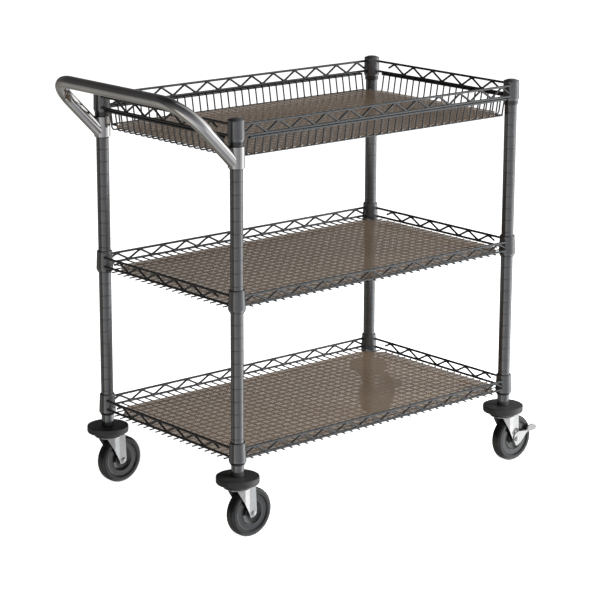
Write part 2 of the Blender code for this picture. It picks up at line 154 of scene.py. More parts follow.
class Shape:
    """Vertices and faces of one piece in millimetres, gathered from tubes, turnings and plates."""

    def __init__(self):
        self.verts = []
        self.faces = []

    def add(self, verts, faces):
        first = len(self.verts)
        self.verts += [Vector(v) for v in verts]
        self.faces += [[first + i for i in face] for face in faces]

    def tube(self, points, radius, sides):
        """Round wire along points, closed flat at both ends."""
        points = [Vector(p) for p in points]
        last = len(points) - 1
        tangents = []
        for i in range(last + 1):
            tangents.append((points[min(i + 1, last)] - points[max(i - 1, 0)]).normalized())
        up = Vector((0, 0, 1)) if abs(tangents[0].z) < 0.9 else Vector((1, 0, 0))
        side = tangents[0].cross(up).normalized()
        verts = []
        for i, (point, tangent) in enumerate(zip(points, tangents)):
            if i:
                side = (side - tangent * side.dot(tangent)).normalized()
            other = tangent.cross(side)
            for k in range(sides):
                angle = 2 * math.pi * k / sides
                verts.append(point + radius * (math.cos(angle) * side + math.sin(angle) * other))
        faces = []
        for i in range(last):
            for k in range(sides):
                a, b = i * sides + k, i * sides + (k + 1) % sides
                faces.append((a, b, b + sides, a + sides))
        faces.append(tuple(reversed(range(sides))))
        faces.append(tuple(last * sides + k for k in range(sides)))
        self.add(verts, faces)

    def turning(self, profile, place, sides=ROUND, closed=True):
        """Profile of (radius, height) turned a full circle; place maps (across, across, height) to 3-D.
        A closed profile makes a ring, an open one starts and ends on the axis."""
        verts, rings = [], []
        for radius, height in profile:
            if radius < 1e-6:
                rings.append([len(verts)])
                verts.append(place(0, 0, height))
                continue
            rings.append(list(range(len(verts), len(verts) + sides)))
            for k in range(sides):
                angle = 2 * math.pi * k / sides
                verts.append(place(radius * math.cos(angle), radius * math.sin(angle), height))
        pairs = list(zip(rings, rings[1:]))
        if closed:
            pairs.append((rings[-1], rings[0]))
        faces = []
        for low, high in pairs:
            for k in range(sides):
                n = (k + 1) % sides
                if len(low) == 1 and len(high) == 1:
                    continue
                if len(low) == 1:
                    faces.append((low[0], high[n], high[k]))
                elif len(high) == 1:
                    faces.append((low[k], low[n], high[0]))
                else:
                    faces.append((low[k], low[n], high[n], high[k]))
        self.add(verts, faces)

    def plate(self, outline, place, low, high):
        """Flat outline of (a, b) pairs extruded from low to high; place maps (a, b, height) to 3-D."""
        count = len(outline)
        verts = [place(a, b, low) for a, b in outline] + [place(a, b, high) for a, b in outline]
        faces = [tuple(reversed(range(count))), tuple(range(count, 2 * count))]
        for i in range(count):
            n = (i + 1) % count
            faces.append((i, n, count + n, count + i))
        self.add(verts, faces)

    def skin(self, front_rows, back_rows):
        """Closed sheet between a front grid and a back grid of the same size."""
        height, width = len(front_rows), len(front_rows[0])
        verts = [p for row in front_rows + back_rows for p in row]
        back = height * width
        faces = []
        for i in range(height - 1):
            for j in range(width - 1):
                a = i * width + j
                faces.append((a, a + 1, a + width + 1, a + width))
                faces.append((back + a, back + a + width, back + a + width + 1, back + a + 1))
        for i in range(height - 1):
            for j in (0, width - 1):
                a = i * width + j
                faces.append((a, a + width, back + a + width, back + a))
        for j in range(width - 1):
            for i in (0, height - 1):
                a = i * width + j
                faces.append((a, a + 1, back + a + 1, back + a))
        self.add(verts, faces)


def rounded(points, radius, steps, closed=False):
    """The same path with its corners eased by curves that start about radius from each corner."""
    points = [Vector(p) for p in points]
    count = len(points)
    out = []
    for i, point in enumerate(points):
        if not closed and i in (0, count - 1):
            out.append(point)
            continue
        before, after = points[i - 1], points[(i + 1) % count]
        into = min(radius, (before - point).length * 0.48)
        onto = min(radius, (after - point).length * 0.48)
        if min(into, onto) < 1e-6:
            out.append(point)
            continue
        a = point + (before - point).normalized() * into
        b = point + (after - point).normalized() * onto
        for k in range(steps + 1):
            t = k / steps
            out.append(a * (1 - t) ** 2 + point * 2 * t * (1 - t) + b * t**2)
    return out


def upright(x, y):
    """Places a turning or a plate about the vertical axis through (x, y)."""
    return lambda a, b, h: Vector((x + a, y + b, h))


def along_y(x, y, z):
    """Places a turning or a plate about the axis that runs front to back through (x, z)."""
    return lambda a, b, h: Vector((x + a, y + h, z + b))


def make_piece(name, shape, material, body, nodes, smooth_angle, bevel=0.0):
    """Makes the object, shades it, puts it on its body and hides its CAD nodes."""
    mesh = bpy.data.meshes.new(name)
    mesh.from_pydata([v * MM for v in shape.verts], [], shape.faces)
    work = bmesh.new()
    work.from_mesh(mesh)
    bmesh.ops.recalc_face_normals(work, faces=work.faces)
    work.to_mesh(mesh)
    work.free()
    mesh.polygons.foreach_set("use_smooth", [True] * len(mesh.polygons))
    mesh.set_sharp_from_angle(angle=math.radians(smooth_angle))
    mesh.materials.append(material)
    piece = bpy.data.objects.new(name, mesh)
    bpy.context.scene.collection.objects.link(piece)
    if bevel:
        edge = piece.modifiers.new("eased_edges", "BEVEL")
        edge.width = bevel * MM
        edge.segments = 2
        edge.limit_method = "ANGLE"
        edge.angle_limit = math.radians(35)
    weigh = piece.modifiers.new("even_shading", "WEIGHTED_NORMAL")
    weigh.keep_sharp = True
    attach(piece, body)
    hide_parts(*nodes)
    return piece


# --- Materials --------------------------------------------------------------------------------------


# Most of a noise's values lie between these.
NOISE_LOW = 0.3
NOISE_HIGH = 0.7


def ramp_node(nodes, stops):
    """Colour ramp; each stop is (position, linear colour)."""
    ramp = nodes.new("ShaderNodeValToRGB")
    elements = ramp.color_ramp.elements
    while len(elements) < len(stops):
        elements.new(0.5)
    for element, (position, colour) in zip(elements, stops):
        element.position = position
        element.color = (*colour, 1)
    return ramp


class Surface:
    """Node tree of one Principled material, with object coordinates in metres."""

    def __init__(self, name, **constants):
        self.material = bpy.data.materials.new(name)
        self.material.use_nodes = True
        self.nodes = self.material.node_tree.nodes
        self.links = self.material.node_tree.links
        self.shader = self.nodes["Principled BSDF"]
        self.coords = self.nodes.new("ShaderNodeTexCoord").outputs["Object"]
        for socket, value in constants.items():
            self.shader.inputs[socket.replace("_", " ")].default_value = value

    def noise(self, scale, detail, stretch=None):
        node = self.nodes.new("ShaderNodeTexNoise")
        node.inputs["Scale"].default_value = scale
        node.inputs["Detail"].default_value = detail
        source = self.coords
        if stretch:
            mapping = self.nodes.new("ShaderNodeMapping")
            mapping.inputs["Scale"].default_value = stretch
            self.links.new(source, mapping.inputs["Vector"])
            source = mapping.outputs["Vector"]
        self.links.new(source, node.inputs["Vector"])
        return node.outputs["Fac"]

    def colours(self, factor, *stops):
        """Colours the surface by a ramp over factor."""
        ramp = ramp_node(self.nodes, stops)
        self.links.new(factor, ramp.inputs["Fac"])
        self.links.new(ramp.outputs["Color"], self.shader.inputs["Base Color"])

    def spread(self, factor, socket, low, high):
        """Drives one number of the shader by factor, between low and high."""
        span = self.nodes.new("ShaderNodeMapRange")
        span.inputs["From Min"].default_value = NOISE_LOW
        span.inputs["From Max"].default_value = NOISE_HIGH
        span.inputs["To Min"].default_value = low
        span.inputs["To Max"].default_value = high
        self.links.new(factor, span.inputs["Value"])
        self.links.new(span.outputs["Result"], self.shader.inputs[socket])

    def bump(self, factor, strength, distance_mm):
        node = self.nodes.new("ShaderNodeBump")
        node.inputs["Strength"].default_value = strength
        node.inputs["Distance"].default_value = distance_mm * MM
        normal = self.shader.inputs["Normal"]
        if normal.is_linked:
            self.links.new(normal.links[0].from_socket, node.inputs["Normal"])
        self.links.new(factor, node.inputs["Height"])
        self.links.new(node.outputs["Normal"], normal)


def grey(value, warm=0.0):
    """Linear colour of a grey given as an sRGB level of 0 to 255, a little warmer by warm levels."""
    levels = (value + warm, value, value - warm)
    return tuple(
        ((v / 255 + 0.055) / 1.055) ** 2.4 if v > 10.3 else v / 255 / 12.92 for v in levels
    )


def epoxy_surface(name, low, high, roughness):
    s = Surface(name, Metallic=0.85, Specular_IOR_Level=0.5)
    s.colours(s.noise(35, 4), (0.3, grey(low, -1)), (0.7, grey(high, -1)))
    s.spread(s.noise(180, 3), "Roughness", roughness - 0.03, roughness + 0.04)
    s.bump(s.noise(900, 2), 0.06, 0.03)
    s.bump(s.noise(220, 2), 0.06, 0.06)
    return s.material


def chrome_surface():
    s = Surface("chrome_tube", Metallic=1.0)
    s.colours(s.noise(14, 5), (0.3, grey(196, 2)), (0.75, grey(214, 1)))
    s.spread(s.noise(60, 5, stretch=(1, 0.25, 1)), "Roughness", 0.05, 0.13)
    s.bump(s.noise(500, 3), 0.05, 0.03)
    return s.material


def zinc_surface():
    s = Surface("zinc_plated", Metallic=0.7, Specular_IOR_Level=0.6)
    s.colours(s.noise(120, 5), (0.3, grey(172, 1)), (0.5, grey(180, 1)), (0.75, grey(188, 1)))
    s.spread(s.noise(320, 4), "Roughness", 0.13, 0.2)
    s.bump(s.noise(1400, 3), 0.03, 0.01)
    return s.material


def rubber_surface(name, low, high, roughness, grain):
    s = Surface(name, Specular_IOR_Level=0.6)
    s.colours(s.noise(45, 5), (0.3, grey(low)), (0.75, grey(high)))
    s.spread(s.noise(90, 4), "Roughness", roughness - 0.08, roughness + 0.08)
    s.bump(s.noise(1600, 3), 0.3, grain)
    return s.material


def plastic_surface(name, low, high, roughness):
    s = Surface(name, Specular_IOR_Level=1.0)
    s.colours(s.noise(70, 4), (0.3, grey(low)), (0.75, grey(high)))
    s.spread(s.noise(260, 3), "Roughness", roughness - 0.05, roughness + 0.08)
    s.bump(s.noise(2000, 2), 0.2, 0.02)
    return s.material


def liner_surface():
    s = Surface("tinted_sheet", Alpha=0.725, Specular_IOR_Level=0.35)
    s.colours(s.noise(6, 4), (0.25, (0.266, 0.192, 0.131)), (0.75, (0.292, 0.214, 0.149)))
    s.spread(s.noise(11, 5), "Roughness", 0.1, 0.2)
    s.bump(s.noise(4, 2), 0.12, 1.2)
    s.bump(s.noise(1500, 2), 0.12, 0.02)
    return s.material


EPOXY = epoxy_surface("grey_epoxy_wire", 88, 96, 0.24)
POST_FINISH = epoxy_surface("grey_epoxy_post", 118, 126, 0.16)
# The mat wires take a much darker copy of the grey epoxy: painted shade for the shadow they lie in
# under the liners.
MAT_SHADED_FINISH = epoxy_surface("grey_epoxy_mat_painted_shade", 44, 50, 0.26)
CHROME = chrome_surface()
ZINC = zinc_surface()
TYRE = rubber_surface("tyre_rubber_grain", 26, 32, 0.22, 0.01)
BUMPER = rubber_surface("bumper_rubber_grain", 44, 52, 0.5, 0.05)
CORE = plastic_surface("wheel_core_moulding", 22, 27, 0.12)
# The clips' own dark plastic; also used for the brake spring end, where its near-black paints shadow.
DARK_CLIP_AND_SHADOW = plastic_surface("clip_moulding_and_painted_shadow", 26, 34, 0.24)
CAP = plastic_surface("cap_moulding", 48, 56, 0.28)
LINER = liner_surface()
TAB = plastic_surface("foot_tab_grey", 120, 128, 0.5)

# --- Camera, lights and floor -----------------------------------------------------------------------

CAMERA_AT = Vector((-2989.3, -3483.1, 1565.8))
CAMERA_YAW = math.radians(40.641)
CAMERA_PITCH = math.radians(14.452)
CAMERA_ROLL = math.radians(0.169)
CAMERA_LENS = 136.6
SENSOR_WIDTH = 36.0

STUDIO_RIGHT = (0.759, -0.651, 0)
STUDIO_FRONT = (-0.651, -0.759, 0)
STUDIO_STRENGTH = 1.6
FLOOR_REACH = 14.0
FLOOR_GLOW = 0.94
LIGHT_AIM_HEIGHT = 0.45
# Brightness around the studio, from behind the cart by its left, its front and its right to behind
# again: first above the horizon, then below it.
SKY_AROUND = (
    (0.00, (0.125, 0.125, 0.125)),
    (0.05, (0.070, 0.067, 0.065)),
    (0.30, (0.045, 0.045, 0.047)),
    (0.42, (0.12, 0.12, 0.125)),
    (0.60, (0.16, 0.165, 0.18)),
    (0.69, (0.30, 0.30, 0.31)),
    (0.72, (0.50, 0.49, 0.50)),
    (0.728, (0.09, 0.21, 0.27)),
    (0.734, (0.09, 0.21, 0.27)),
    (0.740, (1.0, 1.0, 1.0)),
    (0.85, (1.0, 1.0, 1.0)),
    (0.88, (0.45, 0.45, 0.46)),
    (0.95, (0.2, 0.2, 0.2)),
    (1.00, (0.125, 0.125, 0.125)),
)
GROUND_AROUND = (
    (0.000, (0.17, 0.165, 0.155)),
    (0.100, (0.10, 0.094, 0.085)),
    (0.194, (0.165, 0.162, 0.150)),
    (0.250, (0.190, 0.188, 0.176)),
    (0.300, (0.115, 0.107, 0.097)),
    (0.333, (0.105, 0.100, 0.092)),
    (0.367, (0.17, 0.165, 0.155)),
    (0.383, (0.55, 0.53, 0.50)),
    (0.400, (0.55, 0.53, 0.50)),
    (0.417, (0.36, 0.355, 0.35)),
    (0.472, (0.34, 0.34, 0.345)),
    (0.528, (0.25, 0.25, 0.26)),
    (0.633, (0.19, 0.195, 0.21)),
    (0.683, (0.38, 0.37, 0.38)),
    (0.720, (0.52, 0.50, 0.51)),
    (0.728, (0.09, 0.21, 0.27)),
    (0.734, (0.09, 0.21, 0.27)),
    (0.740, (1.0, 1.0, 1.0)),
    (0.820, (1.0, 1.0, 1.0)),
    (0.850, (0.6, 0.6, 0.6)),
    (0.900, (0.34, 0.335, 0.33)),
    (1.000, (0.17, 0.165, 0.155)),
)
# Factor from straight below (0) by the horizon (0.5) to straight above (1).
UP = (
    (0.0, (1.0, 1.0, 1.0)),
    (0.28, (1.5, 1.5, 1.5)),
    (0.40, (1.0, 1.0, 1.0)),
    (0.55, (1.0, 1.0, 1.0)),
    (0.72, (0.75, 0.75, 0.75)),
    (0.85, (0.4, 0.4, 0.4)),
    (1.0, (0.3, 0.3, 0.3)),
)


def make_camera():
    level = math.cos(CAMERA_PITCH)
    forward = Vector(
        (math.sin(CAMERA_YAW) * level, math.cos(CAMERA_YAW) * level, -math.sin(CAMERA_PITCH))
    )
    right = Vector((math.cos(CAMERA_YAW), -math.sin(CAMERA_YAW), 0))
    up = right.cross(forward)
    right, up = (
        right * math.cos(CAMERA_ROLL) + up * math.sin(CAMERA_ROLL),
        up * math.cos(CAMERA_ROLL) - right * math.sin(CAMERA_ROLL),
    )
    data = bpy.data.cameras.new("camera")
    data.lens = CAMERA_LENS
    data.sensor_width = SENSOR_WIDTH
    camera = bpy.data.objects.new("camera", data)
    turned = Matrix((right, up, -forward)).transposed().to_4x4()
    camera.matrix_world = Matrix.Translation(CAMERA_AT * MM) @ turned
    bpy.context.scene.collection.objects.link(camera)
    bpy.context.scene.camera = camera


def make_softbox(name, bearing, height, distance, size, power):
    """Area light at a compass bearing around the cart (degrees from +X), facing its middle."""
    data = bpy.data.lights.new(name, "AREA")
    data.shape = "RECTANGLE"
    data.size, data.size_y = size
    data.energy = power
    light = bpy.data.objects.new(name, data)
    angle = math.radians(bearing)
    place = Vector((math.cos(angle) * distance, math.sin(angle) * distance, height))
    light.location = place
    aim = Vector((0, 0, LIGHT_AIM_HEIGHT)) - place
    light.rotation_euler = aim.to_track_quat("-Z", "Y").to_euler()
    light.visible_camera = False
    light.visible_glossy = False
    bpy.context.scene.collection.objects.link(light)


def make_world():
    """Pale backdrop behind everything; for light and reflections, a studio that is bright on one
    side, dim on the other, with a warm floor below its horizon."""
    world = bpy.data.worlds.new("studio")
    bpy.context.scene.world = world
    world.use_nodes = True
    nodes, links = world.node_tree.nodes, world.node_tree.links
    nodes.clear()
    output = nodes.new("ShaderNodeOutputWorld")
    mix = nodes.new("ShaderNodeMixShader")
    path = nodes.new("ShaderNodeLightPath")
    studio = nodes.new("ShaderNodeBackground")
    backdrop = nodes.new("ShaderNodeBackground")
    backdrop.inputs["Color"].default_value = (1, 1, 1, 1)
    direction = nodes.new("ShaderNodeTexCoord").outputs["Generated"]

    def along(vector):
        node = nodes.new("ShaderNodeVectorMath")
        node.operation = "DOT_PRODUCT"
        node.inputs[1].default_value = vector
        links.new(direction, node.inputs[0])
        return node.outputs["Value"]

    def spread(value, low, high):
        node = nodes.new("ShaderNodeMapRange")
        node.inputs["From Min"].default_value = low
        node.inputs["From Max"].default_value = high
        links.new(value, node.inputs["Value"])
        return node.outputs["Result"]

    bearing = nodes.new("ShaderNodeMath")
    bearing.operation = "ARCTAN2"
    links.new(along(STUDIO_RIGHT), bearing.inputs[0])
    links.new(along(STUDIO_FRONT), bearing.inputs[1])
    around = spread(bearing.outputs["Value"], -math.pi, math.pi)
    height = along((0, 0, 1))

    def blend(kind, factor, first, second):
        node = nodes.new("ShaderNodeMix")
        node.data_type = "RGBA"
        node.blend_type = kind
        if isinstance(factor, float):
            node.inputs["Factor"].default_value = factor
        else:
            links.new(factor, node.inputs["Factor"])
        colours = [socket for socket in node.inputs if socket.type == "RGBA"]
        links.new(first, colours[0])
        links.new(second, colours[1])
        return [socket for socket in node.outputs if socket.type == "RGBA"][0]

    def ramp(factor, stops):
        node = ramp_node(nodes, stops)
        links.new(factor, node.inputs["Fac"])
        return node.outputs["Color"]

    above = spread(height, -0.07, 0.01)
    all_round = blend("MIX", above, ramp(around, GROUND_AROUND), ramp(around, SKY_AROUND))
    shaded = blend("MULTIPLY", 1.0, all_round, ramp(spread(height, -1, 1), UP))
    links.new(shaded, studio.inputs["Color"])
    studio.inputs["Strength"].default_value = STUDIO_STRENGTH
    links.new(path.outputs["Is Camera Ray"], mix.inputs["Fac"])
    links.new(studio.outputs["Background"], mix.inputs[1])
    links.new(backdrop.outputs["Background"], mix.inputs[2])
    links.new(mix.outputs["Shader"], output.inputs["Surface"])


def make_floor():
    mesh = bpy.data.meshes.new("floor")
    r = FLOOR_REACH
    mesh.from_pydata([(-r, -r, 0), (r, -r, 0), (r, r, 0), (-r, r, 0)], [], [(0, 1, 2, 3)])
    s = Surface("pale_floor", Roughness=0.9, Specular_IOR_Level=0.0)
    s.colours(s.noise(2, 2), (0.2, (0.86, 0.86, 0.86)), (0.8, (0.88, 0.88, 0.88)))
    s.shader.inputs["Emission Color"].default_value = (1, 1, 1, 1)
    s.shader.inputs["Emission Strength"].default_value = FLOOR_GLOW
    mesh.materials.append(s.material)
    floor = bpy.data.objects.new("floor", mesh)
    floor.visible_glossy = False
    floor.visible_diffuse = False
    bpy.context.scene.collection.objects.link(floor)


make_camera()
make_world()
make_floor()
make_softbox("key_right", -45, 1.0, 3.3, (1.8, 2.2), 260)
make_softbox("front_fill", -100, 0.9, 3.6, (2.2, 1.8), 45)
make_softbox("top", -60, 3.4, 0.9, (2.4, 2.4), 22)
bpy.context.scene.view_settings.view_transform = "Standard"

# --- Posts, caps and clips --------------------------------------------------------------------------


def post_profile():
    """Tube wall with a fine groove every inch."""
    outer = [(POST_R - 0.5, POST_FOOT), (POST_R, POST_FOOT + 0.6)]
    z = POST_FOOT + GROOVE_PITCH
    while z < POST_TOP - 6:
        outer += [
            (POST_R, z - GROOVE_HALF),
            (POST_R - GROOVE_DEPTH, z - GROOVE_FLOOR_HALF),
            (POST_R - GROOVE_DEPTH, z + GROOVE_FLOOR_HALF),
            (POST_R, z + GROOVE_HALF),
        ]
        z += GROOVE_PITCH
    outer += [(POST_R, POST_TOP - 0.6), (POST_R - 0.5, POST_TOP)]
    return outer + [(POST_BORE_R, POST_TOP), (POST_BORE_R, POST_FOOT)]


def make_posts():
    for corner, (x, y) in CORNERS.items():
        shape = Shape()
        shape.turning(post_profile(), upright(x, y))
        make_piece(
            f"{corner}_post_tube", shape, POST_FINISH, "cart", [f"{corner}_post"], 30,
        )

        low, high = (v.z for v in box_mm(f"{corner}_post_cap"))
        rim = POST_TOP + 0.35
        dome = [
            (0, high), (5, high - 0.15), (9.3, high - 0.8), (11.9, high - 1.9), (13.2, high - 3.4),
            (13.4, rim + 0.4), (13.3, rim), (POST_BORE_R - 0.4, rim), (POST_BORE_R - 0.5, low + 1),
            (POST_BORE_R - 1.5, low), (0, low),
        ]
        shape = Shape()
        shape.turning(dome, upright(x, y), closed=False)
        make_piece(
            f"{corner}_cap_dome", shape, CAP, "cart", [f"{corner}_post_cap"], 50,
        )


def make_sleeve_clip(node, x, y):
    """Tapered clip with a lip at its foot."""
    low, high = (v.z for v in box_mm(node))
    profile = [
        (13.2, low), (14.1, low + 0.5), (14.5, low + 2.6), (14.7, low + 3.4), (14.7, high - 0.5),
        (14.3, high), (12.95, high), (12.95, low),
    ]
    shape = Shape()
    shape.turning(profile, upright(x, y))
    make_piece(f"{node}_sleeve", shape, DARK_CLIP_AND_SHADOW, "cart", [node], 50)


def make_clips():
    for node in sorted(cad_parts):
        if node.endswith("_clip"):
            centre = centre_mm(node)
            make_sleeve_clip(node, centre.x, centre.y)


# --- Shelf frames -----------------------------------------------------------------------------------


def add_collar(shape, x, y, base, top, flare):
    """Sleeve that widens to its foot, with a soft shoulder and a chamfer under it."""
    wide = 17.4 if flare else 17.0
    narrow = 15.8 if flare else 16.3
    profile = [
        (15.0, base + 2.6), (15.4, base + 2.6), (wide - 0.3, base + 6.2), (wide, base + 7.6),
        (wide - 0.15, base + 12), (narrow + 0.1, top - 5), (narrow, top - 1.2),
        (narrow - 0.45, top - 0.3), (15.25, top), (15.0, top),
    ]
    shape.turning(profile, upright(x, y))


def snake_path(middle, half_bends, low, high, start, end):
    """Zigzag wire from end to end: (position, height) pairs about the middle of the side."""
    points = [start]
    for k in range(-half_bends, half_bends + 1):
        points.append((middle + k * SNAKE_PITCH / 2, low if (k + half_bends) % 2 == 0 else high))
    points.append(end)
    return points


def make_frames():
    for level, base in BASES.items():
        lower, upper = (base + h for h in RAILS[level])
        top = box_mm(f"{level}_shelf_frame")[1].z
        shape = Shape()
        for x, y in CORNERS.values():
            add_collar(shape, x, y, base, top, level != "top")
        make_piece(
            f"{level}_frame_collars", shape, POST_FINISH, "cart",
            [f"{level}_shelf_frame"], 60,
        )

        shape = Shape()
        for z in (lower, upper):
            for y in (FRONT - RAIL_OUT, REAR + RAIL_OUT):
                shape.tube([(LEFT + RAIL_END, y, z), (RIGHT - RAIL_END, y, z)], RAIL_R, 12)
            for x in (LEFT - RAIL_OUT, RIGHT + RAIL_OUT):
                shape.tube([(x, FRONT + RAIL_END, z), (x, REAR - RAIL_END, z)], RAIL_R, 12)
        low, high = lower + 1.2, upper - 1.2
        waist = lower + 5
        start, end = (LEFT + SNAKE_END, waist), (RIGHT - SNAKE_END, waist)
        run = snake_path(MIDDLE_X, LONG_SNAKE_HALF_BENDS, high, low, start, end)
        for y in (FRONT - SNAKE_OUT, REAR + SNAKE_OUT):
            shape.tube(rounded([(x, y, z) for x, z in run], SNAKE_BEND_R, 4), SNAKE_R, 10)
        half = (lower + upper) / 2
        start, end = (MIDDLE_Y - SIDE_SNAKE_REACH, half), (MIDDLE_Y + SIDE_SNAKE_REACH, half)
        run = snake_path(MIDDLE_Y, SIDE_SNAKE_HALF_BENDS, high, low, start, end)
        for x in (LEFT - SNAKE_OUT, RIGHT + SNAKE_OUT):
            shape.tube(rounded([(x, y, z) for y, z in run], SNAKE_BEND_R, 4), SNAKE_R, 10)
        make_piece(
            f"{level}_frame_rails", shape, EPOXY, "cart", [f"{level}_shelf_frame"],
            60,
        )


def make_mats():
    for level in ("bottom", "middle"):
        rail = BASES[level] + RAILS[level][0]
        reach = RAIL_OUT + MAT_STUB
        shape = Shape()
        upper, lower = (rail - drop for drop in MAT_DROPS)
        for k in range(MAT_CROSS_WIRES):
            x = MIDDLE_X + (k - (MAT_CROSS_WIRES - 1) / 2) * MAT_PITCH
            shape.tube([(x, FRONT - reach, upper), (x, REAR + reach, upper)], MAT_R, 8)
        for k in range(MAT_LONG_WIRES):
            y = FRONT + MAT_LONG_START + k * MAT_PITCH
            shape.tube([(LEFT - reach, y, lower), (RIGHT + reach, y, lower)], MAT_R, 8)
        make_piece(
            f"{level}_mat_wires", shape, MAT_SHADED_FINISH, "cart", [f"{level}_wire_mat"],
            60,
        )


def make_basket():
    """Rim wires under the rails, and U wires across the basket both ways."""
    rim_z = BASES["top"] + RAILS["top"][0] - 2 * RAIL_R
    floor = LINER_FOOT["top"] - MAT_R - 0.1
    shape = Shape()
    for y in (FRONT - RAIL_OUT, REAR + RAIL_OUT):
        shape.tube([(LEFT + 25, y, rim_z), (RIGHT - 25, y, rim_z)], RAIL_R, 12)
    for x in (LEFT - RAIL_OUT, RIGHT + RAIL_OUT):
        shape.tube([(x, FRONT + 24, rim_z), (x, REAR - 24, rim_z)], RAIL_R, 12)
    top = rim_z + RAIL_R
    for k in range(BASKET_CROSS_WIRES):
        x = MIDDLE_X + (k - (BASKET_CROSS_WIRES - 1) / 2) * BASKET_PITCH
        path = [(x, FRONT - 6, top), (x, FRONT + 0.5, floor)]
        path += [(x, REAR - 0.5, floor), (x, REAR + 6, top)]
        shape.tube(rounded(path, BASKET_BEND_R, 4), BASKET_R, 8)
    for k in range(BASKET_LONG_WIRES):
        y = MIDDLE_Y + (k - (BASKET_LONG_WIRES - 1) / 2) * BASKET_PITCH
        z = floor - 2 * BASKET_R
        path = [(LEFT - 6, y, top), (LEFT + 0.5, y, z), (RIGHT - 0.5, y, z), (RIGHT + 6, y, top)]
        shape.tube(rounded(path, BASKET_END_BEND_R, 4), BASKET_R, 8)
    for y in (FRONT, REAR):
        z = floor + 0.8
        inward = 8 if y == FRONT else -8
        out = y - inward * 0.31
        path = [
            (LEFT + 33, y + inward, z), (LEFT + 25, y + inward * 0.7, z), (LEFT + 25, out, z),
            (RIGHT - 25, out, z), (RIGHT - 25, y + inward * 0.7, z), (RIGHT - 33, y + inward, z),
        ]
        shape.tube(rounded(path, 5.0, 4), BASKET_R, 8)
    make_piece("top_basket_wires", shape, EPOXY, "cart", ["top_basket"], 60)


def make_liners():
    for level in BASES:
        low, high = box_mm(f"{level}_liner")
        cut = LINER_CORNER_CUTS[level]
        if level == "top":
            low.y -= TOP_LINER_OVERLAP
            high.y += TOP_LINER_OVERLAP
        else:
            high.x += LINER_REACH
        outline = [
            (low.x + cut, low.y), (high.x - cut, low.y), (high.x, low.y + cut),
            (high.x, high.y - cut), (high.x - cut, high.y), (low.x + cut, high.y),
            (low.x, high.y - cut), (low.x, low.y + cut),
        ]
        outline = [p.xy for p in rounded([(a, b, 0) for a, b in outline], 5.0, 4, closed=True)]
        shape = Shape()
        shape.plate(outline, upright(0, 0), low.z, high.z)
        make_piece(
            f"{level}_liner_sheet", shape, LINER, "cart", [f"{level}_liner"], 40,
            0.35,
        )


# --- Push handle ------------------------------------------------------------------------------------


def make_handle():
    """One bent tube in a sloping plane, between two sleeves on the left posts."""
    slope = Vector((-1, 0, 1)).normalized()
    near = Vector((LEFT, FRONT, HANDLE_ROOT_Z))
    far = Vector((LEFT, REAR, HANDLE_ROOT_Z))
    reach = slope * HANDLE_RUN
    across = (far - near).normalized()
    path = [near + slope * HANDLE_START]
    turns = [math.pi / 2 * k / HANDLE_BEND_STEPS for k in range(HANDLE_BEND_STEPS + 1)]
    pivot = near + reach - slope * HANDLE_BEND_R + across * HANDLE_BEND_R
    for turn in turns:
        path.append(pivot + HANDLE_BEND_R * (slope * math.sin(turn) - across * math.cos(turn)))
    pivot = far + reach - slope * HANDLE_BEND_R - across * HANDLE_BEND_R
    for turn in turns:
        path.append(pivot + HANDLE_BEND_R * (slope * math.cos(turn) + across * math.sin(turn)))
    path.append(far + slope * HANDLE_START)
    shape = Shape()
    shape.tube(path, HANDLE_R, 40)
    low = box_mm("push_handle")[0].z
    high = box_mm("front_left_handle_clip")[1].z + 0.3
    for y in (FRONT, REAR):
        profile = [
            (14.95, low), (16.1, low), (16.5, low + 0.5), (16.5, high - 0.5), (16.1, high),
            (14.95, high),
        ]
        shape.turning(profile, upright(LEFT, y))
    make_piece("push_handle_tube", shape, CHROME, "cart", ["push_handle"], 40)


# --- Casters ----------------------------------------------------------------------------------------


def make_bumper(corner, x, y):
    """Rubber disc with rounded edges around the foot of the post."""
    low, high = BUMPER_FOOT, BUMPER_TOP
    profile = [
        (7, low), (39, low), (41.6, low + 0.7), (42.8, low + 2.4), (BUMPER_R, low + 4),
        (BUMPER_R, high - 1.6), (42.6, high - 0.6), (41.6, high), (15.2, high),
        (14.2, high - 0.5), (13.0, high - 0.2), (7, high - 0.2),
    ]
    shape = Shape()
    shape.turning(profile, upright(x, y), DISC_SIDES)
    make_piece(
        f"{corner}_bumper_disc", shape, BUMPER, "cart", [f"{corner}_bumper"], 40,
    )


def make_stem(corner, x, y):
    """Ribbed plug in the post, cover under the bumper, and the pin down through the fork."""
    low, high = (v.z for v in box_mm(f"{corner}_caster_stem"))
    cap_top = BUMPER_FOOT - 0.3
    profile = [(0, high), (PLUG_R - 0.8, high), (PLUG_R, high - 1)]
    z = high - 4
    while z > PLUG_FOOT + 4:
        profile += [(PLUG_R, z), (PLUG_R - 0.8, z - 0.8), (PLUG_R, z - 1.6)]
        z -= 5
    profile += [
        (PLUG_R, PLUG_FOOT), (6, PLUG_FOOT), (6, cap_top), (25.4, cap_top), (26, cap_top - 0.6),
        (26.2, cap_top - 2.8), (25.8, cap_top - 3.8), (6, cap_top - 3.8), (6, CROWN_Z - 0.3),
        (8, CROWN_Z - 0.3), (7.8, low + 2.5), (6, low + 0.6), (0, low),
    ]
    shape = Shape()
    shape.turning(profile, upright(x, y), closed=False)
    make_piece(
        f"{corner}_stem_rod", shape, ZINC, "cart", [f"{corner}_caster_stem"], 40,
    )


def between(spots, z):
    """Value at height z on the broken line through (height, value) spots."""
    for (z0, x0), (z1, x1) in zip(spots, spots[1:]):
        if z <= z1:
            return x0 + (x1 - x0) * (z - z0) / (z1 - z0)
    return spots[-1][1]


